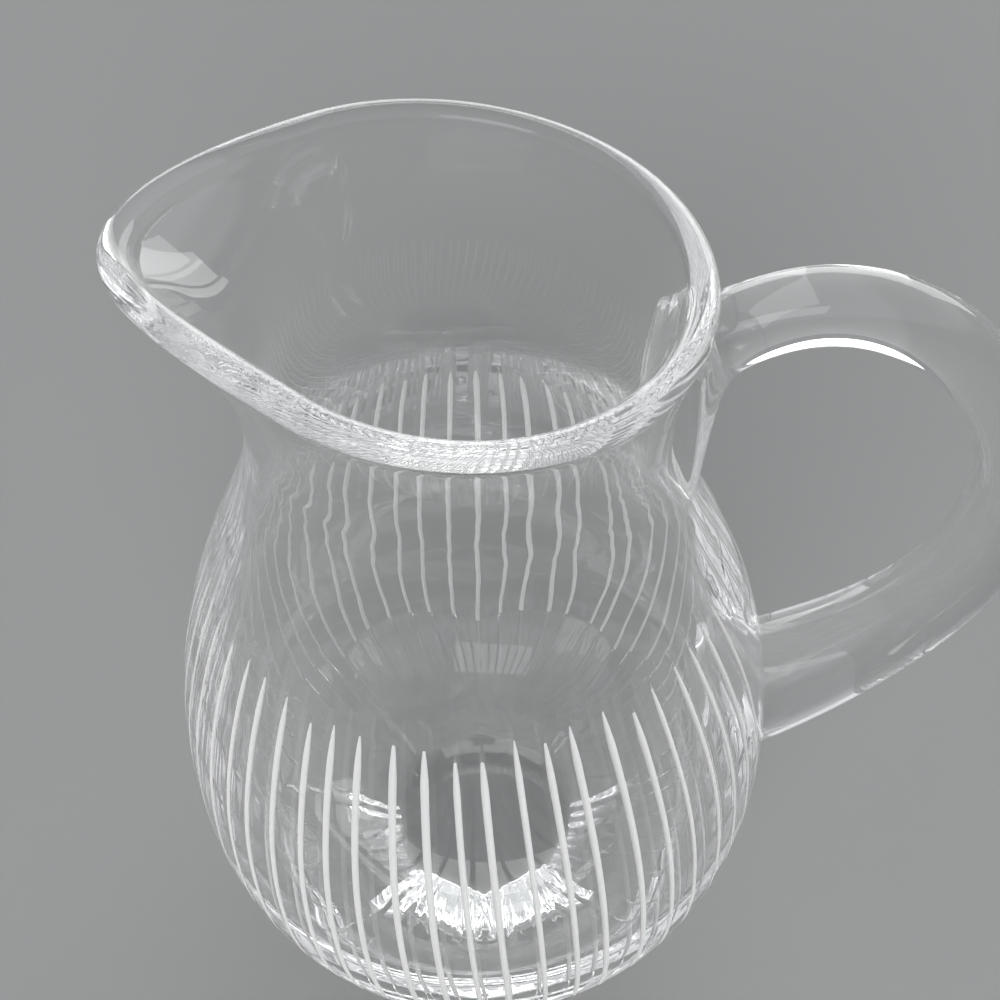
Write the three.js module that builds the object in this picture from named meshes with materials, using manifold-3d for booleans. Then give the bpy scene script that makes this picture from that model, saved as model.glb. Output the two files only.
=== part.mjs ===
// A hand-blown glass water pitcher: one blown body with a pulled spout and a faceted foot,
// and one solid glass handle laid on the neck and the belly.
// Millimetres, +Z up. The origin is the middle of the flat foot, the spout points to -X
// and the handle to +X.
import * as THREE from "three";
import { mergeVertices } from "three/addons/utils/BufferGeometryUtils.js";
import Module from "manifold-3d";

const wasm = await Module();
wasm.setup();

// Blown body: heights of the widest and the narrowest circle above the foot, and outer radii.
const BELLY_RADIUS = 64;
const BELLY_HEIGHT = 63;
const BELLY_DROP = 78;
const NECK_RADIUS = 37.9;
const NECK_HEIGHT = 163.3;
const RIM_RADIUS = 43.2;
const RIM_HEIGHT = 191.5;

// Shares of a rise over which the wall stays upright above the belly, below the neck and above it,
// and the shares of the flare and of its rise that the lip makes in its last turn.
const SHOULDER_HOLD = 0.578;
const NECK_HOLD = 0.3;
const LIP_HOLD = 0.324;
const LIP_FLARE = 0.55;
const LIP_TURN = 0.3;

// Glass thickness at the floor, the belly, the neck and the rim.
const FLOOR_THICKNESS = 13.5;
const BELLY_WALL = 7.5;
const NECK_WALL = 5;
const RIM_WALL = 5.6;

// Pulled spout: the reach of its tip from the axis, and how far the lip climbs to it. The pull begins
// just above the neck, and the climb begins down on the shoulder, so the neck is lifted on that side.
const SPOUT_REACH = 55;
const SPOUT_TIP_ROUNDING = 0.342;
const SPOUT_ROOT_ABOVE_NECK = 2;
const SPOUT_ROOT_HEIGHT = NECK_HEIGHT + SPOUT_ROOT_ABOVE_NECK;
const SPOUT_PULL_POWER = 3;
const SPOUT_RISE = 10.6;
const SPOUT_RISE_POWER = 1.47;
const SPOUT_RISE_ROOT_ABOVE_BELLY = 42;
const SPOUT_RISE_ROOT_HEIGHT = BELLY_HEIGHT + SPOUT_RISE_ROOT_ABOVE_BELLY;

// Foot: a flat octagon left between eight facets, ground with a ridge toward the handle.
const FACET_COUNT = 8;
const FACET_SLOPE = 46;
const FOOT_FLAT_RADIUS = 28;

// Handle: points of its centre line in the X-Z plane, from inside the neck to inside the belly. The top
// of its arch rises from its root.
const HANDLE_ROOT_HEIGHT = 175.6;
const HANDLE_ROOT_LIFT = 2;
const HANDLE_TOP = { x: 62, rise: 10.1 };
const HANDLE_SIDE = { x: 104, z: 134 };
const HANDLE_SEAT_HEIGHT = 63.8;
const HANDLE_SEAT_DEPTH = 17;

// How tightly the centre line turns, as shares of the way between those points.
const ROOT_HOLD = 0.35;
const TOP_HOLD = 0.4;
const CIRCLE_HOLD = 0.552;
const SIDE_HOLD = 0.47;
const SEAT_REACH = 0.81;
const SEAT_LIFT = 0.26;

// Radii of the rod, with the shares of its length over which it thickens and then swells to the pad.
const ROD_UPPER_RADIUS = 6.8;
const ROD_LOWER_RADIUS = 9;
const ROD_THICKENS = { from: 0.4, to: 0.66 };
const PAD_RADIUS = 14;
const PAD_SWELLS = { from: 0.6, power: 1.2 };

// The tongue that runs down the neck from the root of the rod, thinning away from the wall that carries
// the root, and the gap at both seats.
const TONGUE_WIDTH = 19;
const TONGUE_DROP = 36;
const TONGUE_THICKNESS = 2.6;
const TONGUE_STEEPNESS = 3.5;
const FUSED_GAP = 0.3;

// Facet resolution of the curved faces.
const COLUMNS = 64;
const BELLY_ROWS = 9;
const SHOULDER_ROWS = 10;
const LIP_ROWS = 8;
const RIM_ROWS = 5;
const COLUMN_GATHER = 0.45;
const HANDLE_STATIONS = 64;
const HANDLE_SIDES = 24;
const STATION_CROWDING = 0.86;

const glass = (colour) => new THREE.MeshStandardMaterial({
  color: colour, roughness: 0.05, transparent: true, opacity: 0.45,
});

// A closed manifold from any closed geometry: seams welded, collapsed triangles at the poles dropped.
function solidOf(geometry) {
  const bare = new THREE.BufferGeometry();
  bare.setAttribute("position", geometry.getAttribute("position"));
  bare.setIndex(geometry.getIndex());
  const welded = mergeVertices(bare, 1e-4);
  const source = welded.getIndex().array;
  const kept = [];
  for (let i = 0; i < source.length; i += 3) {
    const [a, b, c] = source.subarray(i, i + 3);
    if (a !== b && b !== c && c !== a) {
      kept.push(a, b, c);
    }
  }
  return new wasm.Manifold(new wasm.Mesh({
    numProp: 3,
    vertProperties: new Float32Array(welded.getAttribute("position").array),
    triVerts: new Uint32Array(kept),
  }));
}

function meshOf(solid, name, material) {
  const mesh = solid.getMesh();
  const geometry = new THREE.BufferGeometry();
  const points = new Float32Array(mesh.vertProperties);
  geometry.setAttribute("position", new THREE.BufferAttribute(points, mesh.numProp));
  geometry.setIndex(new THREE.BufferAttribute(new Uint32Array(mesh.triVerts), 1));
  geometry.computeVertexNormals();
  const result = new THREE.Mesh(geometry, material);
  result.name = name;
  return result;
}

// One side of the blown wall, floor to rim, as points (radius, height). The belly is half an ellipse
// below its widest circle, and two cubic curves carry it on through the neck to the flared lip.
function wallProfile({ belly, neck, rim, rimHeight, floorHeight, drop }) {
  const floorAngle = Math.asin((floorHeight - BELLY_HEIGHT) / drop);
  const lower = new THREE.EllipseCurve(0, BELLY_HEIGHT, belly, drop, floorAngle, 0);
  const climb = NECK_HEIGHT - BELLY_HEIGHT;
  const shoulder = new THREE.CubicBezierCurve(
    new THREE.Vector2(belly, BELLY_HEIGHT),
    new THREE.Vector2(belly, BELLY_HEIGHT + SHOULDER_HOLD * climb),
    new THREE.Vector2(neck, NECK_HEIGHT - NECK_HOLD * climb),
    new THREE.Vector2(neck, NECK_HEIGHT),
  );
  const flare = rimHeight - NECK_HEIGHT;
  const lip = new THREE.CubicBezierCurve(
    new THREE.Vector2(neck, NECK_HEIGHT),
    new THREE.Vector2(neck, NECK_HEIGHT + LIP_HOLD * flare),
    new THREE.Vector2(rim - LIP_FLARE * (rim - neck), rimHeight - LIP_TURN * flare),
    new THREE.Vector2(rim, rimHeight),
  );
  return [
    new THREE.Vector2(0, floorHeight),
    ...lower.getPoints(BELLY_ROWS),
    ...shoulder.getPoints(SHOULDER_ROWS).slice(1),
    ...lip.getPoints(LIP_ROWS).slice(1),
  ];
}

// The outside of the body, grown sideways.
function outerProfile(grow) {
  return wallProfile({
    belly: BELLY_RADIUS + grow,
    neck: NECK_RADIUS + grow,
    rim: RIM_RADIUS + grow,
    rimHeight: RIM_HEIGHT,
    floorHeight: 0,
    drop: BELLY_DROP,
  });
}

// The lip is drawn out to a rounded point on -X. In plan the rim circle runs on in its two tangents,
// which meet at the tip; the pull and the climb grow toward the lip from their own roots.
function pullSpout(point) {
  const radius = Math.hypot(point.x, point.y);
  if (radius === 0 || point.z <= SPOUT_RISE_ROOT_HEIGHT) {
    return point;
  }
  const shareAbove = (root) => THREE.MathUtils.clamp((point.z - root) / (RIM_HEIGHT - root), 0, 1);
  const around = Math.atan2(point.y, -point.x);
  const toTip = Math.hypot(around, SPOUT_TIP_ROUNDING) - SPOUT_TIP_ROUNDING;
  const tangentAngle = Math.acos(RIM_RADIUS / SPOUT_REACH);
  const pull = RIM_RADIUS / Math.cos(Math.max(0, tangentAngle - toTip)) - RIM_RADIUS;
  const stretch = 1 + (Math.pow(shareAbove(SPOUT_ROOT_HEIGHT), SPOUT_PULL_POWER) * pull) / radius;
  const facing = Math.pow((1 + Math.cos(around)) / 2, SPOUT_RISE_POWER);
  const climb = SPOUT_RISE * shareAbove(SPOUT_RISE_ROOT_HEIGHT) * facing;
  return point.set(point.x * stretch, point.y * stretch, point.z + climb);
}

// Columns of the lathe close up toward the spout in the lip, where the plan turns most sharply.
function gatherColumns(point) {
  const share = THREE.MathUtils.smoothstep(point.z, BELLY_HEIGHT, RIM_HEIGHT);
  const around = Math.atan2(point.y, -point.x);
  const turned = around - COLUMN_GATHER * share * Math.sin(around);
  const radius = Math.hypot(point.x, point.y);
  return point.set(-radius * Math.cos(turned), radius * Math.sin(turned), point.z);
}

function spun(profile) {
  const geometry = new THREE.LatheGeometry(profile, COLUMNS);
  geometry.rotateX(Math.PI / 2);
  const position = geometry.getAttribute("position");
  const point = new THREE.Vector3();
  for (let i = 0; i < position.count; i += 1) {
    point.fromBufferAttribute(position, i);
    pullSpout(gatherColumns(point));
    position.setXYZ(i, point.x, point.y, point.z);
  }
  return solidOf(geometry);
}

// The radius of the body's outside at a height, away from the spout.
function wallRadiusAt(height) {
  const wall = outerProfile(0);
  const above = wall.findIndex((point) => point.y > height);
  if (above < 1) {
    return RIM_RADIUS;
  }
  const [low, high] = wall.slice(above - 1, above + 1);
  return THREE.MathUtils.mapLinear(height, low.y, high.y, low.x, high.x);
}

// The circle that rounds the lip, leaning with the flare, and its offset from the outer edge of the rim.
function lipCircle() {
  const lean = Math.atan2(LIP_FLARE * (RIM_RADIUS - NECK_RADIUS), LIP_TURN * (RIM_HEIGHT - NECK_HEIGHT));
  const half = RIM_WALL / 2;
  return { lean, half, across: half * Math.cos(lean), rise: half * Math.sin(lean) };
}

// The outside of the body as a filled solid with a rounded lip, grown sideways: the handle's seat.
function filledBody(grow) {
  const { lean, half, across, rise } = lipCircle();
  const lip = new THREE.EllipseCurve(
    RIM_RADIUS + grow - across, RIM_HEIGHT + rise, half, half, -lean, Math.PI / 2);
  const top = new THREE.Vector2(0, RIM_HEIGHT + rise + half);
  return spun([...outerProfile(grow), ...lip.getPoints(RIM_ROWS).slice(1), top]);
}

// The hollow blank: the outer face, half a circle over the lip, the inner face.
function bodyBlank() {
  const { lean, half, across, rise } = lipCircle();
  const rim = new THREE.EllipseCurve(
    RIM_RADIUS - across, RIM_HEIGHT + rise, half, half, -lean, Math.PI - lean);
  const inner = wallProfile({
    belly: BELLY_RADIUS - BELLY_WALL,
    neck: NECK_RADIUS - NECK_WALL,
    rim: RIM_RADIUS - 2 * across,
    rimHeight: RIM_HEIGHT + 2 * rise,
    floorHeight: FLOOR_THICKNESS,
    drop: BELLY_HEIGHT - FLOOR_THICKNESS,
  });
  return spun([...outerProfile(0), ...rim.getPoints(RIM_ROWS).slice(1, -1), ...inner.reverse()]);
}

// One cutter of the foot: all the glass outside the plane that leaves the octagon at FACET_SLOPE.
function facetCutter(index) {
  const size = 4 * BELLY_RADIUS;
  const cutter = new THREE.BoxGeometry(size, size, size);
  cutter.translate(size / 2, 0, -size / 2);
  cutter.rotateY(-THREE.MathUtils.degToRad(FACET_SLOPE));
  const across = FOOT_FLAT_RADIUS * Math.cos(Math.PI / FACET_COUNT);
  cutter.translate(across, 0, 0);
  cutter.rotateZ(((index + 0.5) * 2 * Math.PI) / FACET_COUNT);
  return solidOf(cutter);
}

function body() {
  const cutters = Array.from({ length: FACET_COUNT }, (_, index) => facetCutter(index));
  return wasm.Manifold.difference([bodyBlank(), ...cutters]);
}

// Rings of equal count joined into a closed skin, with a fan over each end.
function loft(rings) {
  const sides = rings[0].length;
  const points = rings.flat();
  const ends = [rings[0], rings[rings.length - 1]];
  const hubs = ends.map((ring) => ring.reduce(
    (sum, point) => sum.add(point), new THREE.Vector3()).divideScalar(sides));
  const firstHub = points.length;
  const lastHub = firstHub + 1;
  const index = [];
  for (let side = 0; side < sides; side += 1) {
    const next = (side + 1) % sides;
    for (let ring = 0; ring + 1 < rings.length; ring += 1) {
      const here = ring * sides;
      const there = here + sides;
      index.push(here + side, there + next, here + next);
      index.push(here + side, there + side, there + next);
    }
    const last = (rings.length - 1) * sides;
    index.push(firstHub, side, next);
    index.push(lastHub, last + next, last + side);
  }
  const geometry = new THREE.BufferGeometry().setFromPoints([...points, ...hubs]);
  geometry.setIndex(index);
  return geometry;
}

// The handle's centre line: out of the neck, over the top, down the side and in to the belly.
function handlePath() {
  const path = new THREE.CurvePath();
  const at = (x, z) => new THREE.Vector3(x, 0, z);
  const root = at(NECK_RADIUS - NECK_WALL, HANDLE_ROOT_HEIGHT);
  const top = at(HANDLE_TOP.x, root.z + HANDLE_TOP.rise);
  const side = at(HANDLE_SIDE.x, HANDLE_SIDE.z);
  const seat = at(BELLY_RADIUS - HANDLE_SEAT_DEPTH, HANDLE_SEAT_HEIGHT);
  const run = top.x - root.x;
  const span = side.x - top.x;
  const fall = top.z - side.z;
  const sink = side.z - seat.z;
  path.add(new THREE.CubicBezierCurve3(
    root, at(root.x + ROOT_HOLD * run, root.z + HANDLE_ROOT_LIFT), at(top.x - TOP_HOLD * run, top.z), top));
  path.add(new THREE.CubicBezierCurve3(
    top, at(top.x + CIRCLE_HOLD * span, top.z), at(side.x, top.z - CIRCLE_HOLD * fall), side));
  const inward = at(seat.x + SEAT_REACH * span, seat.z + SEAT_LIFT * sink);
  path.add(new THREE.CubicBezierCurve3(side, at(side.x, side.z - SIDE_HOLD * sink), inward, seat));
  return path;
}

// The rod's section: its radius, how far its lower half is drawn down the neck, and its half width.
// The rod thickens down the side and swells into a round pad against the belly.
function rodSection(share, centre) {
  const ease = THREE.MathUtils.smoothstep;
  const mix = THREE.MathUtils.lerp;
  const rod = mix(ROD_UPPER_RADIUS, ROD_LOWER_RADIUS, ease(share, ROD_THICKENS.from, ROD_THICKENS.to));
  const swelling = Math.pow(ease(share, PAD_SWELLS.from, 1), PAD_SWELLS.power);
  const radius = mix(rod, PAD_RADIUS, swelling);
  const fromWall = Math.max(0, centre.x - wallRadiusAt(HANDLE_ROOT_HEIGHT)) / TONGUE_THICKNESS;
  const tongue = share < 0.5 ? 1 / (1 + Math.pow(fromWall, TONGUE_STEEPNESS)) : 0;
  return {
    radius,
    drop: TONGUE_DROP * tongue,
    sideways: radius + (TONGUE_WIDTH / 2 - ROD_UPPER_RADIUS) * tongue,
  };
}

// The rod as rings along the centre line, closer together toward both seats. The lower half of each
// ring is drawn straight down by the tongue.
function handleRod() {
  const path = handlePath();
  const rings = [];
  for (let station = 0; station <= HANDLE_STATIONS; station += 1) {
    const even = station / HANDLE_STATIONS;
    const share = even - (STATION_CROWDING * Math.sin(2 * Math.PI * even)) / (2 * Math.PI);
    const centre = path.getPointAt(share);
    const along = path.getTangentAt(share);
    const outward = new THREE.Vector3(-along.z, 0, along.x);
    const section = rodSection(share, centre);
    const ring = [];
    for (let side = 0; side < HANDLE_SIDES; side += 1) {
      const angle = (side * 2 * Math.PI) / HANDLE_SIDES;
      const point = centre.clone().addScaledVector(outward, Math.cos(angle) * section.radius);
      point.y += Math.sin(angle) * section.sideways;
      point.z += Math.min(0, Math.cos(angle)) * section.drop;
      ring.push(point);
    }
    rings.push(ring);
  }
  return solidOf(loft(rings));
}

function handle() {
  return handleRod().subtract(filledBody(FUSED_GAP));
}

const group = new THREE.Group();
group.name = "glass_pitcher";
group.add(meshOf(body(), "glass_body", glass("#dfe9ea")));
group.add(meshOf(handle(), "glass_handle", glass("#cfe0e4")));

export default group;
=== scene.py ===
"""A blown water pitcher of clear glass: cut lines on the belly, a faceted foot and an applied handle."""
import math
from collections import namedtuple

import bpy
import numpy as np
from mathutils import Matrix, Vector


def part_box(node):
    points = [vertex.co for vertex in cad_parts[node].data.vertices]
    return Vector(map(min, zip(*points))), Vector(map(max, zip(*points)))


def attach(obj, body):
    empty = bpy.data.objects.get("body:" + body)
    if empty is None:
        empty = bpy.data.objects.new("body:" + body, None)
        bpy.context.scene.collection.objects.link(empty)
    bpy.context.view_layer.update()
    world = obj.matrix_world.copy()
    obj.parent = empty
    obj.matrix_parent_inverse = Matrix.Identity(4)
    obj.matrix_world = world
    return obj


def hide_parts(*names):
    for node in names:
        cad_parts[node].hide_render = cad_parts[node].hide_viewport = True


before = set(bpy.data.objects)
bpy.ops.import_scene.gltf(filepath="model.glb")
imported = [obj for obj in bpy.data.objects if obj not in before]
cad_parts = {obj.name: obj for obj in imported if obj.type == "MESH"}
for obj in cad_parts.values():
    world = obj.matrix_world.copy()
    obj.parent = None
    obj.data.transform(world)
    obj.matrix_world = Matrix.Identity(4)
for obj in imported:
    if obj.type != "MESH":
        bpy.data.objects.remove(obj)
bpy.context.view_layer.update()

BODY_LOW, BODY_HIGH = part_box("glass_body")

bl_info = {
    "name": "Blown glass pitcher",
    "version": (1, 0, 0),
    "blender": (4, 5, 0),
    "location": "View3D > Sidebar > Pitcher",
    "description": "Builds a glass water pitcher with cut lines, a faceted foot and an applied handle",
    "category": "Add Mesh",
}

# How far the handles of the wall's two cubic curves reach, as shares of their rise and flare, and the
# powers by which the spout is pulled out and climbs.
SHOULDER_HOLD = 0.578
NECK_HOLD = 0.3
LIP_HOLD = 0.324
LIP_FLARE = 0.55
LIP_TURN = 0.3
SPOUT_PULL_POWER = 3
SPOUT_RISE_POWER = 1.47

# Waves that blowing leaves in the inner face: radians to a metre up the wall of the coarse, slow and fine
# rings, heights as shares of the coarse rings', and how often slow and fine ones wind round the axis.
COARSE_PITCH = 330.0
SLOW_PITCH = 142.0
FINE_PITCH = 1040.0
SLOW_SHARE = 0.6
FINE_SHARE = 0.2
SLOW_TURNS = 2
FINE_TURNS = 7

# Waves round the wall draw the rings aside: their number to a turn, start in radians and share, how far they
# draw the coarse rings, and by what multiple of that they draw the fine ones the other way.
DRIFT_WAVES = ((3, 1.0, 1.0), (5, 3.0, 0.5))
RING_DRIFT = 1.6
FINE_DRIFT = 3

# Cut decoration: facets round the foot and seven lines to a facet round the belly. The lines wander by a
# share of their pitch, differ in width, come to a point at the top and thin toward the foot. The middle
# line below the handle and two on either side begin under its pad. A line's section is given as offsets in
# half widths and shares of the depth.
FACET_COUNT = 8
LINES_TO_FACET = 7
LINE_COUNT = LINES_TO_FACET * FACET_COUNT
LINE_WANDER = 0.12
LINE_WIDTHS = (0.86, 1.1)
LINE_POINT = 0.5
LINE_THINNING = 0.25
FINEST_LINE = 0.02
LINES_UNDER_PAD = 2
CUT_OFFSETS = np.array([-1.0, -0.45, 0.0, 0.45, 1.0])
CUT_SECTION = np.array([0.0, 0.85, 1.0, 0.85, 0.0])
PLAIN_COLUMNS = 2
LINE_SEED = 11

# Rows of the body's skin, from the middle of the foot up the outside and down the inside.
FOOT_ROWS = 8
FACET_ROWS = 20
BELLY_ROWS = 34
SHOULDER_ROWS = 46
LIP_ROWS = 26
RIM_ROWS = 18
FLOOR_ROWS = 30
OUTER_ROWS = FOOT_ROWS + FACET_ROWS + BELLY_ROWS + SHOULDER_ROWS + LIP_ROWS

# How tightly the handle's centre line turns, as shares of the way between its points.
ROOT_HOLD = 0.35
TOP_HOLD = 0.4
CIRCLE_HOLD = 0.552
SIDE_HOLD = 0.47
SEAT_REACH = 0.81
SEAT_LIFT = 0.26

# Shares of the handle's length over which the rod thickens, from which it swells to the pad and up to
# which it may be drawn into the tongue, and the powers by which the pad swells and the tongue fades.
ROD_THICKENS = (0.4, 0.66)
PAD_SWELLS_FROM = 0.6
UPPER_HALF = 0.5
PAD_SWELLS_POWER = 1.2
TONGUE_STEEPNESS = 3.5

# Rows and sides of the handle's skin, how far its rows crowd toward the seats, rings of a seat, and points
# of the centre line.
ROD_ROWS = 220
ROD_SIDES = 128
ROW_CROWDING = 0.86
CAP_ROWS = 6
PATH_SAMPLES = 1500

# Edges above the sharp angle stay sharp, the joint begins a margin inside a seat's outline, and the wall's
# curve is read at so many points in each of its parts, from so far down the belly's ellipse.
SHARP_ANGLE = math.radians(16)
SEAT_MARGIN = 0.0006
WALL_SAMPLES = 400
WALL_DEPTH = math.radians(60)

# Materials of a face, by their place in the piece's list.
GLASS, JOINT, GROUND = 0, 1, 2

# Finish: grains to a metre and detail of the ground lines, their least roughness and what the grain adds,
# and the roughness and shine of the floor's paper.
GRAIN_SCALE = 900.0
GRAIN_DETAIL = 2.0
GROUND_ROUGHNESS = 0.55
GRAIN_ROUGHNESS = 0.3
PAPER_ROUGHNESS = 0.9
PAPER_SHINE = 0.2

# Sizes of one face of the blown wall, and a lamp that the glass shows or not.
Side = namedtuple("Side", "belly neck rim rim_height drop")
Lamp = namedtuple("Lamp", "place size shown")

# Stage: the floor just under the foot, low lamps in front and behind for the ground lines, a window behind
# and above the camera, the camera, and the bounces that light needs to come out of thick glass.
FLOOR_HALF = 0.9
FLOOR_LEVEL = -0.0004
LAMP_FRONT = Lamp((-0.3, -2.2, 0.74), (2.4, 1.0), False)
LAMP_BACK = Lamp((0.6, 2.1, 0.74), (4.0, 1.3), True)
WINDOW = Lamp((-0.15, -0.9, 0.8), (0.8, 0.4), True)
CAMERA_PLACE = (0.0067, -0.1822, 0.3576)
LIGHT_BOUNCES = 256


def length(name, description, default):
    """A size in metres, shown in the scene's units."""
    return bpy.props.FloatProperty(
        name=name, description=description, default=default, min=0.0, precision=4,
        subtype="DISTANCE", unit="LENGTH")


def turn(name, description, degrees):
    """An angle, given in degrees."""
    return bpy.props.FloatProperty(
        name=name, description=description, default=math.radians(degrees),
        subtype="ANGLE", unit="ROTATION")


def number(name, description, default):
    """A plain number without a unit."""
    return bpy.props.FloatProperty(name=name, description=description, default=default, min=0.0)


def colour(name, description, default):
    """A linear colour."""
    return bpy.props.FloatVectorProperty(
        name=name, description=description, default=default, size=3, min=0.0, max=1.0, subtype="COLOR")


class PitcherBodySizes(bpy.types.PropertyGroup):
    """Sizes of the blown body."""

    belly_radius: length("Belly radius", "Outside radius at the widest circle", BODY_HIGH.y)
    belly_height: length("Belly height", "Height of the widest circle above the foot", 0.063)
    belly_drop: length("Belly drop", "Half height of the ellipse below the widest circle", 0.078)
    neck_radius: length("Neck radius", "Outside radius at the narrowest circle", 0.0379)
    neck_height: length("Neck height", "Height of the narrowest circle", 0.1633)
    rim_radius: length("Rim radius", "Outside radius of the lip away from the spout", 0.0432)
    rim_height: length("Rim height", "Height of the lip's outer edge at the handle", 0.1915)
    floor_thickness: length("Floor thickness", "Glass under the hollow", 0.0135)
    belly_wall: length("Belly wall", "Glass thickness at the widest circle", 0.0075)
    neck_wall: length("Neck wall", "Glass thickness at the narrowest circle", 0.005)
    rim_wall: length("Rim wall", "Thickness of the rounded lip", 0.0056)
    ripple: length("Ripple", "Height of the small waves in the inner face", 0.000015)
    spout_reach: length("Spout reach", "Distance of the spout's tip from the axis", 0.055)
    spout_rise: length("Spout rise", "Climb of the lip from the handle to the spout", 0.0106)
    spout_root: length("Spout root", "Height at which the spout begins to leave the neck", 0.1653)
    climb_root: length("Climb root", "Height at which the wall begins to climb toward the spout", 0.105)
    spout_rounding: turn("Spout rounding", "Half angle over which the tip is rounded", 19.6)


class PitcherCutSizes(bpy.types.PropertyGroup):
    """Sizes of the ground lines and of the facets."""

    line_width: length("Line width", "Width of a ground line", 0.00145)
    line_depth: length("Line depth", "Depth of a ground line", 0.0004)
    line_top: length("Line top", "Height at which the lines begin", 0.1275)
    line_stagger: length("Line stagger", "How far the tops of the lines wander", 0.0008)
    line_taper: length("Line taper", "Length of a line's pointed end", 0.007)
    line_slant: turn("Line slant", "Turn of a line about the axis between its top and the facets", 3)
    covered_top: length("Covered top", "Height at which the lines below the handle's pad begin", 0.053)
    foot_radius: length("Foot radius", "Corner radius of the flat octagon", 0.028)
    facet_slope: turn("Facet slope", "Slope of the facets above the table", 46)
    edge_softness: length("Edge softness", "Rounding where the facets meet the foot and the belly", 0.0006)
    ridge_softness: turn("Ridge softness", "Rounding of the ridges between facets, as an angle", 0.9)


class PitcherHandleSizes(bpy.types.PropertyGroup):
    """Sizes of the applied handle."""

    root_height: length("Root height", "Height of the rod where it leaves the neck", 0.1756)
    root_lift: length("Root lift", "Climb of the rod as it leaves the neck", 0.002)
    top_reach: length("Top reach", "Distance of the highest point from the axis", 0.062)
    top_rise: length("Top rise", "Rise of the rod's centre from its root to its highest", 0.0101)
    side_reach: length("Side reach", "Distance of the outermost centre from the axis", 0.104)
    side_height: length("Side height", "Height of the outermost centre", 0.134)
    seat_height: length("Seat height", "Height at which the rod's centre line ends in the belly", 0.0638)
    seat_depth: length("Seat depth", "How far the centre line runs in past the widest circle", 0.017)
    upper_radius: length("Upper radius", "Radius of the rod over the top", 0.0068)
    lower_radius: length("Lower radius", "Radius of the rod down the side", 0.009)
    pad_radius: length("Pad radius", "Radius of the pad on the belly", 0.014)
    tongue_width: length("Tongue width", "Width of the tongue on the neck", 0.019)
    tongue_drop: length("Tongue drop", "How far the tongue runs down the neck", 0.036)
    tongue_thickness: length("Tongue thickness", "How far the tongue stands off the wall", 0.0026)


class PitcherGlassLook(bpy.types.PropertyGroup):
    """Colours and finish of the glass."""

    tint: colour("Tint", "Colour of light passing one face of the glass", (0.985, 0.99, 0.988))
    ground: colour("Ground lines", "Colour of the matte cut lines", (0.93, 0.93, 0.93))
    scatter: number("Scatter", "Share of the light that a ground line sends on through the glass", 0.4)
    refraction: number("Refractive index", "Bending of light in the glass", 1.52)


class PitcherStageLook(bpy.types.PropertyGroup):
    """Floor, lamps and camera."""

    floor: colour("Floor", "Colour of the floor", (0.38, 0.38, 0.38))
    sky: colour("Sky", "Colour of the studio's walls and ceiling", (0.9, 0.92, 0.94))
    sky_strength: number("Sky strength", "Brightness of the walls and ceiling, as they are seen", 1.0)
    sky_light: number("Sky light", "Brightness of the light that matte surfaces take from the sky", 0.45)
    backdrop: number("Backdrop", "Brightness of the backdrop, as a share of the sky's", 0.3)
    backdrop_top: number("Backdrop top", "Height of the plain backdrop, as the sine of its angle", 0.15)
    sky_start: number("Sky start", "Height at which the full sky begins, as the sine of its angle", 0.3)
    lamp_power: bpy.props.FloatProperty(
        name="Lamp power", description="Power of each low lamp", default=40.0, unit="POWER")
    window_power: bpy.props.FloatProperty(
        name="Window power", description="Power of the window behind the camera", default=2.0, unit="POWER")
    lens: bpy.props.FloatProperty(
        name="Lens", description="Focal length of the camera", default=54.0, unit="CAMERA")
    camera_pitch: turn("Camera pitch", "How far the camera looks down", 50.33)
    camera_roll: turn("Camera roll", "Turn of the camera about its own axis", -1.765)


def cubic(start, first, second, end, t):
    """A cubic curve: its four values weighted by the Bernstein polynomials of t."""
    rest = 1.0 - t
    return rest ** 3 * start + 3 * rest * rest * t * first + 3 * rest * t * t * second + t ** 3 * end


def ease(value, low, high):
    """Goes smoothly from 0 at low to 1 at high: 3 s squared less 2 s cubed."""
    share = np.clip((value - low) / (high - low), 0.0, 1.0)
    return share * share * (3.0 - 2.0 * share)


def lip_lean(body):
    """How far the lip leans out of the upright at its edge: the angle of its curve's last handle."""
    flare = body.rim_height - body.neck_height
    return math.atan2(LIP_FLARE * (body.rim_radius - body.neck_radius), LIP_TURN * flare)


def outside(body):
    """The outer face of the wall."""
    return Side(body.belly_radius, body.neck_radius, body.rim_radius, body.rim_height, body.belly_drop)


def inside(body):
    """The inner face of the wall, one wall thickness in. It meets the rounded lip square to the lean."""
    lean = lip_lean(body)
    return Side(
        body.belly_radius - body.belly_wall,
        body.neck_radius - body.neck_wall,
        body.rim_radius - body.rim_wall * math.cos(lean),
        body.rim_height + body.rim_wall * math.sin(lean),
        body.belly_height - body.floor_thickness)


def belly_arc(side, body, angle):
    """Below the widest circle: an ellipse, radius belly cos(angle), height drop sin(angle) from there."""
    return side.belly * np.cos(angle), body.belly_height + side.drop * np.sin(angle)


def shoulder(side, body, t):
    """From the widest circle to the neck: a cubic curve, upright at both ends."""
    climb = body.neck_height - body.belly_height
    radius = cubic(side.belly, side.belly, side.neck, side.neck, t)
    height = cubic(
        body.belly_height, body.belly_height + SHOULDER_HOLD * climb,
        body.neck_height - NECK_HOLD * climb, body.neck_height, t)
    return radius, height


def lip(side, body, t):
    """From the neck to the rim: a cubic curve that leaves the neck upright and flares late."""
    flare = side.rim_height - body.neck_height
    radius = cubic(side.neck, side.neck, side.rim - LIP_FLARE * (side.rim - side.neck), side.rim, t)
    height = cubic(
        body.neck_height, body.neck_height + LIP_HOLD * flare,
        side.rim_height - LIP_TURN * flare, side.rim_height, t)
    return radius, height


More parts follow.
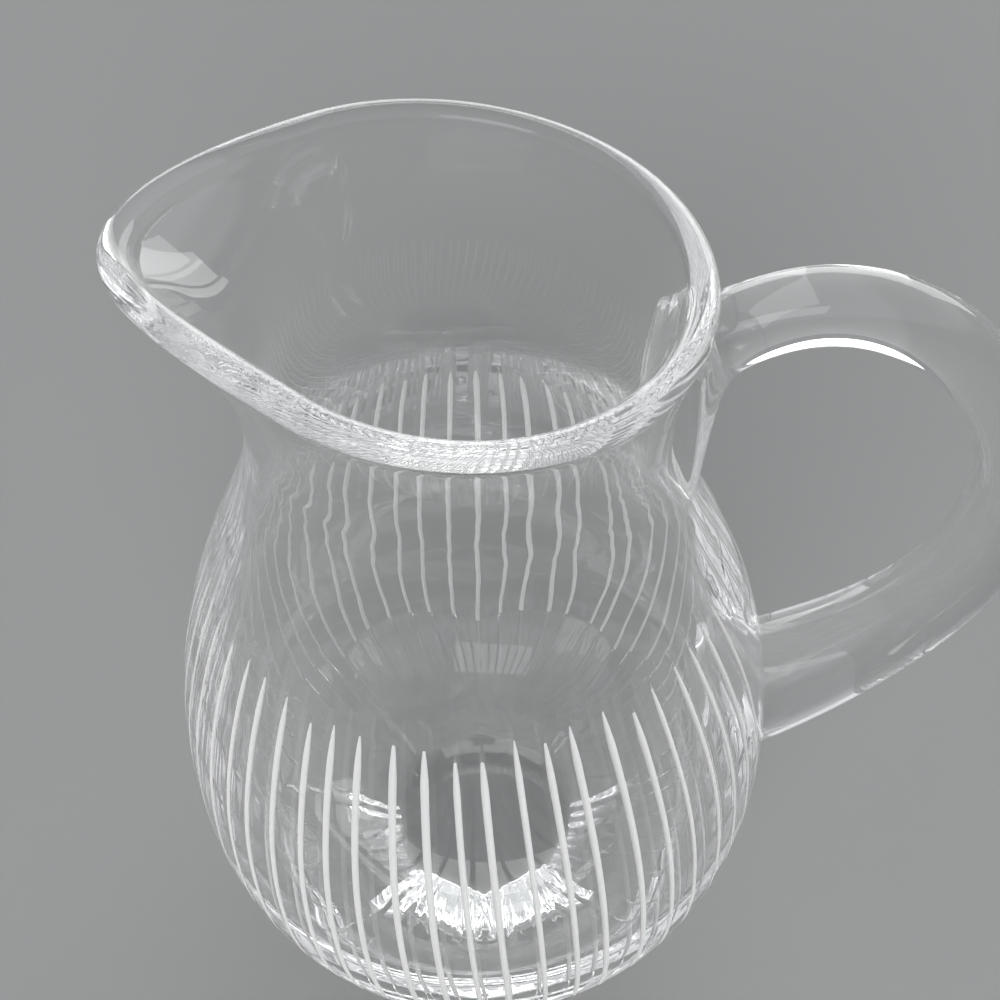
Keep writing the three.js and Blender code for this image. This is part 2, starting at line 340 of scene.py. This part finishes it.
def rounded_rim(body, angle):
    """Half a circle over the lip, turned by the lean, from the outer face at 0 to the inner face at pi."""
    lean = lip_lean(body)
    half = body.rim_wall / 2
    radius = body.rim_radius + half * (np.cos(angle - lean) - math.cos(lean))
    height = body.rim_height + half * (np.sin(angle - lean) + math.sin(lean))
    return radius, height


def pull_spout(body, radius, azimuth, height):
    """Draws the lip out on -X. In plan the rim circle runs on in its two tangents, which meet at a rounded
    tip: radius = rim / cos(tangent angle - angle from the tip). The pull grows with a power of the height
    above the spout's root. The climb to the tip grows with the height above its own root, times a power of
    (1 + cos) / 2."""
    pulled = np.clip((height - body.spout_root) / (body.rim_height - body.spout_root), 0.0, 1.0)
    lifted = np.clip((height - body.climb_root) / (body.rim_height - body.climb_root), 0.0, 1.0)
    around = np.angle(-np.exp(1j * azimuth))
    to_tip = np.hypot(around, body.spout_rounding) - body.spout_rounding
    tangent = math.acos(body.rim_radius / body.spout_reach)
    pull = body.rim_radius / np.cos(np.maximum(0.0, tangent - to_tip)) - body.rim_radius
    climb = body.spout_rise * lifted * ((1 + np.cos(around)) / 2) ** SPOUT_RISE_POWER
    return radius + pulled ** SPOUT_PULL_POWER * pull, height + climb


def blown_ripple(body, azimuth, height):
    """Small waves that blowing leaves in the inner face: three sines of the height, drawn aside by sines
    of the azimuth, fading out toward the floor and the lip."""
    waves = [share * np.sin(turns * azimuth + start) for turns, start, share in DRIFT_WAVES]
    drift = RING_DRIFT * sum(waves)
    coarse = np.sin(COARSE_PITCH * height + drift)
    slow = np.sin(SLOW_PITCH * height - SLOW_TURNS * azimuth)
    fine = np.sin(FINE_PITCH * height - FINE_DRIFT * drift + FINE_TURNS * azimuth)
    low = ease(height, body.floor_thickness, body.belly_height)
    fading = low * (1 - ease(height, body.neck_height, body.rim_height))
    return body.ripple * fading * (coarse + SLOW_SHARE * slow + FINE_SHARE * fine)


def soft_max(first, second, softness):
    """The higher of two heights, with the corner between them rounded: half of their sum plus the root of
    their difference squared and the softness squared."""
    return (first + second + np.hypot(first - second, softness)) / 2


def facet_plane(cuts, azimuth):
    """Facet height along each azimuth is rise * radius - fall. The facet's plane climbs at its slope from
    the octagon's side, and the angle to the nearest ridge is kept from zero, which rounds the ridge."""
    step = 2 * math.pi / FACET_COUNT
    from_ridge = np.hypot(np.mod(azimuth + step / 2, step) - step / 2, cuts.ridge_softness)
    slope = math.tan(cuts.facet_slope)
    return slope * np.cos(step / 2 - from_ridge), slope * cuts.foot_radius * math.cos(step / 2)


def facet_edges(body, cuts, azimuth):
    """For each azimuth, where the facet leaves the flat foot and where it meets the belly.
    The facet's plane put into the belly's ellipse gives one sine equation for the ellipse angle."""
    rise, fall = facet_plane(cuts, azimuth)
    reach = body.belly_radius * rise
    size = np.hypot(body.belly_drop, reach)
    angle = np.arctan2(reach, body.belly_drop) - np.arcsin((fall + body.belly_height) / size)
    return fall / rise, angle


def line_layout(cuts):
    """Azimuth, width and top of each ground line, with the small wander of hand work.
    Lines on a facet's ridge keep their place, and those below the handle's pad begin under it."""
    draw = np.random.default_rng(LINE_SEED)
    index = np.arange(LINE_COUNT)
    pitch = 2 * math.pi / LINE_COUNT
    on_ridge = index % LINES_TO_FACET == 0
    wander = np.where(on_ridge, 0.0, draw.normal(0.0, LINE_WANDER, LINE_COUNT))
    azimuth = (index + wander) * pitch
    width = cuts.line_width * draw.uniform(*LINE_WIDTHS, LINE_COUNT)
    top = cuts.line_top + cuts.line_stagger * draw.normal(0.0, 1.0, LINE_COUNT)
    below_pad = np.minimum(index, LINE_COUNT - index) <= LINES_UNDER_PAD
    return azimuth, width, np.where(below_pad, cuts.covered_top, top)


def line_share(cuts, top, height):
    """Share of a line's full width and depth at a height: a power of the way down its pointed top, less
    the thinning toward the foot."""
    point = np.clip((top - height) / cuts.line_taper, FINEST_LINE, 1.0) ** LINE_POINT
    return point * (1 - LINE_THINNING * np.clip((top - height) / top, 0.0, 1.0))


def column_azimuths(cuts, radius, height, spread, facet_top):
    """Azimuth of every column in every row, and the depth of the cut there. Five columns follow each line
    across its width and two divide the glass to the next line. Where spread is 1 the columns stand evenly.
    Above the facets all columns lean with the lines, in step with the height."""
    line_azimuth, line_width, line_top = line_layout(cuts)
    per_line = len(CUT_OFFSETS) + PLAIN_COLUMNS
    pitch = 2 * math.pi / LINE_COUNT
    order = np.arange(LINE_COUNT * per_line)
    line = order // per_line
    place = order % per_line
    even = line * pitch + (place - len(CUT_OFFSETS) // 2) * pitch / per_line
    next_line = (line + 1) % LINE_COUNT
    taper = line_share(cuts, line_top[line], height)
    half = line_width[line] / 2 * taper / radius
    next_half = line_width[next_line] / 2 * line_share(cuts, line_top[next_line], height) / radius
    cut_place = np.minimum(place, len(CUT_OFFSETS) - 1)
    across = line_azimuth[line] + CUT_OFFSETS[cut_place] * half
    gap_end = line_azimuth[next_line] + 2 * math.pi * (next_line == 0) - next_half
    gap_share = np.maximum(0, place - len(CUT_OFFSETS) + 1) / (PLAIN_COLUMNS + 1)
    cut = across + gap_share * (gap_end - across)
    above = ease(height, line_top[line], line_top[line] + cuts.line_taper)
    mix = np.maximum(above, spread)
    depth = np.where(place < len(CUT_OFFSETS), CUT_SECTION[cut_place], 0.0) * taper
    depth = depth * (height < line_top[line]) * (1 - spread)
    climb = np.clip((height - facet_top) / (cuts.line_top - facet_top), 0.0, 1.0)
    return cut + mix * (even - cut) - cuts.line_slant * climb, cuts.line_depth * depth


def body_rows(body, cuts, azimuth):
    """Radius and height of every row of the body's skin: flat foot, facets, belly, shoulder, lip, rounded
    rim, then lip, shoulder and floor of the hollow. Also the spread of each row: 0 where its columns
    follow the cut lines and 1 where they stand evenly."""
    foot_edge, crease = facet_edges(body, cuts, azimuth)
    rise, fall = facet_plane(cuts, azimuth)
    outer = outside(body)
    inner = inside(body)
    crease_radius, _ = belly_arc(outer, body, crease)
    columns = azimuth.shape[-1]

    def column(count, first=0.0, last=1.0):
        return np.linspace(first, last, count + 1)[1:, None] * np.ones(columns)

    foot = np.sin(math.pi / 2 * column(FOOT_ROWS))
    facet = (1 - np.cos(math.pi * column(FACET_ROWS))) / 2
    belly = 1 - np.cos(math.pi / 2 * column(BELLY_ROWS))
    foot_radius = foot * foot_edge
    facet_radius = foot_edge + facet * (crease_radius - foot_edge)
    belly_radius, belly_height = belly_arc(outer, body, crease * (1.0 - belly))
    belly_height = soft_max(belly_height, rise * belly_radius - fall, cuts.edge_softness)
    under_belly = belly_arc(outer, body, -np.arccos(facet_radius / outer.belly))[1]
    facet_height = soft_max(rise * facet_radius - fall, 0.0, cuts.edge_softness)
    facet_height = soft_max(facet_height, under_belly, cuts.edge_softness)
    floor = -column(FLOOR_ROWS)[:-1] * math.pi / 2
    sections = [
        (foot_radius, soft_max(rise * foot_radius - fall, 0.0, cuts.edge_softness), 1.0),
        (facet_radius, facet_height, 1.0 - facet),
        (belly_radius, belly_height, 0.0),
        (*shoulder(outer, body, column(SHOULDER_ROWS)), 0.0),
        (*lip(outer, body, column(LIP_ROWS)), 0.0),
        (*rounded_rim(body, math.pi * column(RIM_ROWS)), 1.0),
        (*lip(inner, body, column(LIP_ROWS, 1.0, 0.0)), 1.0),
        (*shoulder(inner, body, column(SHOULDER_ROWS, 1.0, 0.0)), 1.0),
        (*belly_arc(inner, body, floor), 1.0),
    ]
    radius = np.concatenate([section[0] for section in sections])
    height = np.concatenate([section[1] for section in sections])
    spread = np.concatenate([np.broadcast_to(section[2], section[0].shape) for section in sections])
    return radius, height, spread


def body_grid(body, cuts):
    """The body's skin as a grid of points, and which of its faces are ground. The rows are laid once on
    even columns, the columns are then moved to the cut lines at each row's height, and the rows are laid
    again on the moved columns, pressed in by the depth of the cut."""
    columns = LINE_COUNT * (len(CUT_OFFSETS) + PLAIN_COLUMNS)
    even = (np.arange(columns) / columns * 2 * math.pi)[None, :]
    radius, height, spread = body_rows(body, cuts, even)
    crease_row = FOOT_ROWS + FACET_ROWS - 1
    azimuth, depth = column_azimuths(cuts, radius, height, spread, height[crease_row].max())
    radius, height, spread = body_rows(body, cuts, azimuth[crease_row:crease_row + 1])
    inner = np.arange(len(radius))[:, None] >= OUTER_ROWS + RIM_ROWS
    radius = radius - depth + inner * blown_ripple(body, azimuth, height)
    radius, height = pull_spout(body, radius, azimuth, height)
    points = np.stack([radius * np.cos(azimuth), radius * np.sin(azimuth), height], axis=-1)
    place = np.arange(columns) % (len(CUT_OFFSETS) + PLAIN_COLUMNS)
    deepest = np.maximum(depth, np.roll(depth, -1, axis=1))
    cut_row = (deepest[:-1] > 0) & (deepest[1:] > 0) & (spread[:-1] == 0)
    return points, cut_row & (place < len(CUT_OFFSETS) - 1)


def wall_radius(body, height):
    """Outside radius of the plain blown wall at a height, read from its curve."""
    t = np.linspace(0.0, 1.0, WALL_SAMPLES)
    parts = [
        belly_arc(outside(body), body, (t - 1.0) * WALL_DEPTH),
        shoulder(outside(body), body, t),
        lip(outside(body), body, t)]
    radii = np.concatenate([part[0] for part in parts])
    heights = np.concatenate([part[1] for part in parts])
    return np.interp(height, heights, radii)


def handle_path(body, handle, share):
    """The handle's centre line in the X-Z plane at shares of its length, and its direction: three cubic
    curves, out of the neck, over the top and down the side, and in to the belly."""
    t = np.linspace(0.0, 1.0, PATH_SAMPLES)
    root_x, root_z = body.neck_radius - body.neck_wall, handle.root_height
    top_x, top_z = handle.top_reach, handle.root_height + handle.top_rise
    side_x, side_z = handle.side_reach, handle.side_height
    seat_x, seat_z = body.belly_radius - handle.seat_depth, handle.seat_height
    run = top_x - root_x
    span = side_x - top_x
    fall = top_z - side_z
    sink = side_z - seat_z
    x = np.concatenate([
        cubic(root_x, root_x + ROOT_HOLD * run, top_x - TOP_HOLD * run, top_x, t),
        cubic(top_x, top_x + CIRCLE_HOLD * span, side_x, side_x, t),
        cubic(side_x, side_x, seat_x + SEAT_REACH * span, seat_x, t)])
    z = np.concatenate([
        cubic(root_z, root_z + handle.root_lift, top_z, top_z, t),
        cubic(top_z, top_z, top_z - CIRCLE_HOLD * fall, side_z, t),
        cubic(side_z, side_z - SIDE_HOLD * sink, seat_z + SEAT_LIFT * sink, seat_z, t)])
    run_length = np.concatenate([[0.0], np.cumsum(np.hypot(np.diff(x), np.diff(z)))])
    at = run_length / run_length[-1]
    keep = np.concatenate([[True], np.diff(at) > 0])
    at, x, z = at[keep], x[keep], z[keep]
    along_x = np.interp(share, at, np.gradient(x, at))
    along_z = np.interp(share, at, np.gradient(z, at))
    size = np.hypot(along_x, along_z)
    return np.interp(share, at, x), np.interp(share, at, z), along_x / size, along_z / size


def rod_points(body, handle, share, angle):
    """Points of the rod's surface: an ellipse across the path. Against the belly it swells to a pad.
    Against the neck its lower half is drawn straight down into a tongue, by the drop over 1 + (distance
    from the wall at the root / thickness) to a power."""
    x, z, along_x, along_z = handle_path(body, handle, share)
    rod = handle.upper_radius + (handle.lower_radius - handle.upper_radius) * ease(share, *ROD_THICKENS)
    pad = ease(share, PAD_SWELLS_FROM, 1.0) ** PAD_SWELLS_POWER
    radius = rod + (handle.pad_radius - rod) * pad
    from_wall = np.maximum(0.0, x - wall_radius(body, handle.root_height)) / handle.tongue_thickness
    tongue = (share < UPPER_HALF) / (1 + from_wall ** TONGUE_STEEPNESS)
    drop = handle.tongue_drop * tongue * np.minimum(0.0, np.cos(angle))
    sideways = radius + (handle.tongue_width / 2 - handle.upper_radius) * tongue
    rise = np.cos(angle) * radius
    return np.stack([x - along_z * rise, np.sin(angle) * sideways, z + along_x * rise + drop], axis=-1)


def seat_shares(body, handle, angle):
    """For each side of the rod, the shares of the path at which it leaves the neck and reaches the belly:
    where its clearance from the wall, taken as straight between two samples, is zero."""
    share = np.linspace(0.0, 1.0, PATH_SAMPLES)[:, None]
    points = rod_points(body, handle, share, angle[None, :])
    clear = np.hypot(points[..., 0], points[..., 1]) - wall_radius(body, points[..., 2])
    middle = PATH_SAMPLES // 2
    buried = clear < 0
    first = middle - 1 - np.argmax(buried[:middle][::-1], axis=0)
    last = middle + np.argmax(buried[middle:], axis=0)
    side = np.arange(len(angle))

    def crossing(row, other):
        step = share[other, 0] - share[row, 0]
        return share[row, 0] + step * clear[row, side] / (clear[row, side] - clear[other, side])

    return crossing(first, first + 1), crossing(last, last - 1)


def seat_outline(points):
    """A seat's outline on the wall: azimuth and height of each of its points."""
    return np.arctan2(points[:, 1], points[:, 0]), points[:, 2]


def seat_cap(body, points, inner_first):
    """Rings from the middle of a seat to its outline, laid on the blown wall."""
    azimuth, height = seat_outline(points)
    share = np.arange(1, CAP_ROWS + 1)[:, None] / (CAP_ROWS + 1)
    ring_azimuth = azimuth.mean() + share * (azimuth - azimuth.mean())
    ring_height = height.mean() + share * (height - height.mean())
    radius = wall_radius(body, ring_height)
    rings = np.stack([radius * np.cos(ring_azimuth), radius * np.sin(ring_azimuth), ring_height], axis=-1)
    return rings if inner_first else rings[::-1]


def handle_grid(body, handle):
    """The handle's skin: a cap on the neck, the rod between its two seats, and a cap on the belly. The
    rows crowd toward the seats: even shares less a part of their sine. Also which faces lie on a seat, and
    the outlines of the two seats."""
    angle = -np.arange(ROD_SIDES) / ROD_SIDES * 2 * math.pi
    start, end = seat_shares(body, handle, angle)
    even = np.linspace(0.0, 1.0, ROD_ROWS)[:, None]
    crowded = even - ROW_CROWDING * np.sin(2 * math.pi * even) / (2 * math.pi)
    rod = rod_points(body, handle, start + (end - start) * crowded, angle[None, :])
    grid = np.concatenate([seat_cap(body, rod[0], True), rod, seat_cap(body, rod[-1], False)])
    on_seat = np.zeros((len(grid) - 1, ROD_SIDES), bool)
    on_seat[:CAP_ROWS] = True
    on_seat[-CAP_ROWS:] = True
    return grid, on_seat, rod[0], rod[-1]


def under_seat(body, azimuth, height, outline, margin):
    """True for points of the wall that lie inside a seat's outline, drawn in by the margin.
    Both are taken as polar about the outline's middle, with the azimuth measured along the wall."""
    edge_azimuth, edge_height = seat_outline(outline)
    middle_azimuth, middle_height = edge_azimuth.mean(), edge_height.mean()
    size = wall_radius(body, middle_height)
    edge = (edge_azimuth - middle_azimuth) * size + 1j * (edge_height - middle_height)
    order = np.argsort(np.angle(edge))
    point = np.angle(np.exp(1j * (azimuth - middle_azimuth))) * size + 1j * (height - middle_height)
    limit = np.interp(np.angle(point), np.angle(edge)[order], np.abs(edge)[order], period=2 * math.pi)
    return np.abs(point) < limit - margin


def closed_skin(name, grid, kinds, materials):
    """A closed mesh from rings of points: quads between rings, and a fan from a pole over each end. Each
    quad takes its kind of material, and a fan takes that of the first quad beside it."""
    rings, sides = grid.shape[:2]
    poles = np.stack([grid[0].mean(axis=0), grid[-1].mean(axis=0)])
    points = np.concatenate([grid.reshape(-1, 3), poles])
    number_of = np.arange(rings * sides).reshape(rings, sides)
    ahead = np.roll(number_of, -1, axis=1)
    quads = np.stack([number_of[:-1], ahead[:-1], ahead[1:], number_of[1:]], axis=-1).reshape(-1, 4)
    first = np.stack([np.full(sides, rings * sides), ahead[0], number_of[0]], axis=-1)
    last = np.stack([number_of[-1], ahead[-1], np.full(sides, rings * sides + 1)], axis=-1)
    corners = np.concatenate([quads.ravel(), first.ravel(), last.ravel()])
    sizes = np.concatenate([np.full(len(quads), 4), np.full(2 * sides, 3)])
    mesh = bpy.data.meshes.new(name)
    mesh.vertices.add(len(points))
    mesh.vertices.foreach_set("co", points.astype(np.float32).ravel())
    mesh.loops.add(len(corners))
    mesh.loops.foreach_set("vertex_index", corners.astype(np.int32))
    mesh.polygons.add(len(sizes))
    mesh.polygons.foreach_set("loop_start", np.concatenate([[0], np.cumsum(sizes)[:-1]]).astype(np.int32))
    for material in materials:
        mesh.materials.append(material)
    kind = np.concatenate([kinds.ravel(), np.full(sides, kinds[0, 0]), np.full(sides, kinds[-1, 0])])
    mesh.polygons.foreach_set("material_index", kind.astype(np.int32))
    mesh.update(calc_edges=True)
    mesh.validate()
    mesh.shade_smooth()
    mesh.set_sharp_from_angle(angle=SHARP_ANGLE)
    piece = bpy.data.objects.new(name, mesh)
    bpy.context.scene.collection.objects.link(piece)
    return piece


class Value:
    """A shader value. Operators on it add Math nodes to its tree."""

    def __init__(self, tree, socket):
        self.tree = tree
        self.socket = socket

    def math(self, operation, other):
        """One Math node on this value and another value or a number."""
        return self.tree.node("ShaderNodeMath", {"operation": operation}, {0: self, 1: other})["Value"]

    def __add__(self, other):
        return self.math("ADD", other)

    __radd__ = __add__

    def __mul__(self, other):
        return self.math("MULTIPLY", other)

    __rmul__ = __mul__


class Outputs:
    """The outputs of a node, by name, as shader values."""

    def __init__(self, tree, node):
        self.tree = tree
        self.outputs = node.outputs

    def __getitem__(self, name):
        return Value(self.tree, self.outputs[name])


class Finish:
    """A material or a world, and the nodes in it."""

    def __init__(self, owner, output="ShaderNodeOutputMaterial"):
        owner.use_nodes = True
        self.owner = owner
        self.output = output
        self.nodes = owner.node_tree.nodes
        self.links = owner.node_tree.links
        self.nodes.clear()

    def node(self, kind, settings, inputs):
        """Adds a node: its settings first, then the values or links of its sockets."""
        made = self.nodes.new(kind)
        for name, value in settings.items():
            setattr(made, name, value)
        for name, value in inputs.items():
            if isinstance(value, Value):
                self.links.new(value.socket, made.inputs[name])
            else:
                made.inputs[name].default_value = value
        return Outputs(self, made)

    def surface(self, shader):
        """Makes a shader the surface of the material or of the world."""
        self.node(self.output, {}, {"Surface": shader})
        return self.owner


def clear_glass(look, name):
    """Polished clear glass."""
    finish = Finish(bpy.data.materials.new(name))
    shader = finish.node("ShaderNodeBsdfPrincipled", {}, {
        "Base Color": (*look.tint, 1.0),
        "Roughness": 0.0,
        "IOR": look.refraction,
        "Transmission Weight": 1.0,
    })
    return finish.surface(shader["BSDF"])


def ground_glass(look):
    """The matte white of a line ground with a wheel, uneven along it. It scatters light both ways."""
    finish = Finish(bpy.data.materials.new("ground_lines"))
    place = finish.node("ShaderNodeTexCoord", {}, {})["Object"]
    grain = finish.node("ShaderNodeTexNoise", {}, {
        "Vector": place, "Scale": GRAIN_SCALE, "Detail": GRAIN_DETAIL})["Fac"]
    toward = finish.node("ShaderNodeBsdfPrincipled", {}, {
        "Base Color": (*look.ground, 1.0),
        "Roughness": GROUND_ROUGHNESS + GRAIN_ROUGHNESS * grain,
        "IOR": look.refraction,
    })
    through = finish.node("ShaderNodeBsdfTranslucent", {}, {"Color": (*look.ground, 1.0)})
    shader = finish.node("ShaderNodeMixShader", {}, {
        0: look.scatter, 1: toward["BSDF"], 2: through["BSDF"]})
    return finish.surface(shader["Shader"])


def fused_joint():
    """Glass that has run into glass: no face is left, so light goes straight on."""
    finish = Finish(bpy.data.materials.new("fused_joint"))
    return finish.surface(finish.node("ShaderNodeBsdfTransparent", {}, {})["BSDF"])


def matte_floor(look):
    """Plain matte paper."""
    finish = Finish(bpy.data.materials.new("floor_paper"))
    shader = finish.node("ShaderNodeBsdfPrincipled", {}, {
        "Base Color": (*look.floor, 1.0),
        "Roughness": PAPER_ROUGHNESS,
        "Specular IOR Level": PAPER_SHINE,
    })
    return finish.surface(shader["BSDF"])


def studio_sky(look):
    """White walls and ceiling over a plain grey backdrop, rising smoothly from one to the other. The
    camera and the glass see them at full strength, and matte surfaces take less light from them."""
    finish = Finish(bpy.data.worlds.new("studio"), "ShaderNodeOutputWorld")
    toward = finish.node("ShaderNodeTexCoord", {}, {})["Generated"]
    height = finish.node("ShaderNodeSeparateXYZ", {}, {"Vector": toward})["Z"]
    lit = finish.node("ShaderNodeMapRange", {"interpolation_type": "SMOOTHSTEP"}, {
        "Value": height, "From Min": look.backdrop_top, "From Max": look.sky_start,
        "To Min": look.backdrop, "To Max": 1.0})
    path = finish.node("ShaderNodeLightPath", {}, {})
    seen = path["Is Camera Ray"] + path["Is Glossy Ray"] + path["Is Transmission Ray"]
    shown = finish.node("ShaderNodeMapRange", {}, {
        "Value": seen, "To Min": look.sky_light, "To Max": look.sky_strength})
    sky = finish.node("ShaderNodeBackground", {}, {
        "Color": (*look.sky, 1.0), "Strength": shown["Result"] * lit["Result"]})
    return finish.surface(sky["Background"])


class PITCHER_OT_body(bpy.types.Operator):
    """Build the blown body with its spout, facets and ground lines"""

    bl_idname = "pitcher.body"
    bl_label = "Blown body"

    def execute(self, context):
        scene = context.scene
        body, look = scene.pitcher_body, scene.pitcher_glass
        grid, ground = body_grid(body, scene.pitcher_cuts)
        kinds = np.where(ground, GROUND, GLASS)
        centre = (grid[:-1] + grid[1:]) / 2
        centre = (centre + np.roll(centre, -1, axis=1)) / 2
        azimuth = np.arctan2(centre[..., 1], centre[..., 0])
        outer_rows = np.arange(len(centre))[:, None] < OUTER_ROWS
        for outline in handle_grid(body, scene.pitcher_handle)[2:]:
            hidden = under_seat(body, azimuth, centre[..., 2], outline, SEAT_MARGIN) & outer_rows
            kinds = np.where(hidden, JOINT, kinds)
        materials = [clear_glass(look, "body_glass"), fused_joint(), ground_glass(look)]
        piece = closed_skin("pitcher_body", grid, kinds, materials)
        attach(piece, "root")
        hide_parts("glass_body")
        return {"FINISHED"}


class PITCHER_OT_handle(bpy.types.Operator):
    """Build the solid handle with its tongue on the neck and its pad on the belly"""

    bl_idname = "pitcher.handle"
    bl_label = "Applied handle"

    def execute(self, context):
        scene = context.scene
        grid, on_seat, _, _ = handle_grid(scene.pitcher_body, scene.pitcher_handle)
        materials = [clear_glass(scene.pitcher_glass, "handle_glass"), fused_joint()]
        piece = closed_skin("pitcher_handle", grid, np.where(on_seat, JOINT, GLASS), materials)
        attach(piece, "root")
        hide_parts("glass_handle")
        return {"FINISHED"}


def add_lamp(name, lamp, aim, power):
    """A soft oblong lamp that looks at a point, and that the glass shows or not."""
    data = bpy.data.lights.new(name, "AREA")
    data.shape = "RECTANGLE"
    data.size, data.size_y = lamp.size
    data.energy = power
    item = bpy.data.objects.new(name, data)
    item.location = lamp.place
    item.rotation_euler = (aim - item.location).to_track_quat("-Z", "Y").to_euler()
    item.visible_glossy = lamp.shown
    item.visible_transmission = lamp.shown
    bpy.context.scene.collection.objects.link(item)


class PITCHER_OT_stage(bpy.types.Operator):
    """Set up the floor, the lamps, the sky and the camera"""

    bl_idname = "pitcher.stage"
    bl_label = "Stage"

    def execute(self, context):
        scene = context.scene
        look = scene.pitcher_stage
        mesh = bpy.data.meshes.new("floor")
        quarters = ((-1, -1), (1, -1), (1, 1), (-1, 1))
        corners = [(x * FLOOR_HALF, y * FLOOR_HALF, FLOOR_LEVEL) for x, y in quarters]
        mesh.from_pydata(corners, [], [(0, 1, 2, 3)])
        mesh.materials.append(matte_floor(look))
        floor = bpy.data.objects.new("floor", mesh)
        scene.collection.objects.link(floor)
        scene.world = studio_sky(look)
        aim = (BODY_LOW + BODY_HIGH) / 2
        add_lamp("lamp_front", LAMP_FRONT, aim, look.lamp_power)
        add_lamp("lamp_back", LAMP_BACK, aim, look.lamp_power)
        add_lamp("window", WINDOW, aim, look.window_power)
        data = bpy.data.cameras.new("camera")
        data.lens = look.lens
        camera = bpy.data.objects.new("camera", data)
        scene.collection.objects.link(camera)
        camera.matrix_world = (
            Matrix.Translation(CAMERA_PLACE)
            @ Matrix.Rotation(math.pi / 2 - look.camera_pitch, 4, "X")
            @ Matrix.Rotation(look.camera_roll, 4, "Z"))
        scene.camera = camera
        scene.cycles.max_bounces = LIGHT_BOUNCES
        scene.cycles.transmission_bounces = LIGHT_BOUNCES
        scene.cycles.glossy_bounces = LIGHT_BOUNCES
        scene.view_settings.view_transform = "Standard"
        return {"FINISHED"}


class PITCHER_PT_sidebar(bpy.types.Panel):
    """Lists the pitcher's pieces and their sizes"""

    bl_label = "Glass pitcher"
    bl_idname = "PITCHER_PT_sidebar"
    bl_space_type = "VIEW_3D"
    bl_region_type = "UI"
    bl_category = "Pitcher"

    def draw(self, context):
        for operator, group in PIECES:
            box = self.layout.box()
            box.operator(operator.bl_idname)
            for name in group.__annotations__:
                box.prop(getattr(context.scene, GROUPS[group]), name)


GROUPS = {
    PitcherBodySizes: "pitcher_body",
    PitcherCutSizes: "pitcher_cuts",
    PitcherHandleSizes: "pitcher_handle",
    PitcherGlassLook: "pitcher_glass",
    PitcherStageLook: "pitcher_stage",
}
PIECES = (
    (PITCHER_OT_body, PitcherBodySizes),
    (PITCHER_OT_body, PitcherCutSizes),
    (PITCHER_OT_handle, PitcherHandleSizes),
    (PITCHER_OT_handle, PitcherGlassLook),
    (PITCHER_OT_stage, PitcherStageLook),
)
CLASSES = (*GROUPS, PITCHER_OT_body, PITCHER_OT_handle, PITCHER_OT_stage, PITCHER_PT_sidebar)


def register():
    """Registers the classes and hangs the property groups on the scene."""
    for cls in CLASSES:
        bpy.utils.register_class(cls)
    for group, name in GROUPS.items():
        setattr(bpy.types.Scene, name, bpy.props.PointerProperty(type=group))


def unregister():
    """Takes the property groups off the scene and unregisters the classes."""
    for name in GROUPS.values():
        delattr(bpy.types.Scene, name)
    for cls in reversed(CLASSES):
        bpy.utils.unregister_class(cls)


def main():
    register()
    bpy.ops.pitcher.stage()
    bpy.ops.pitcher.body()
    bpy.ops.pitcher.handle()


if __name__ == "__main__":
    main()
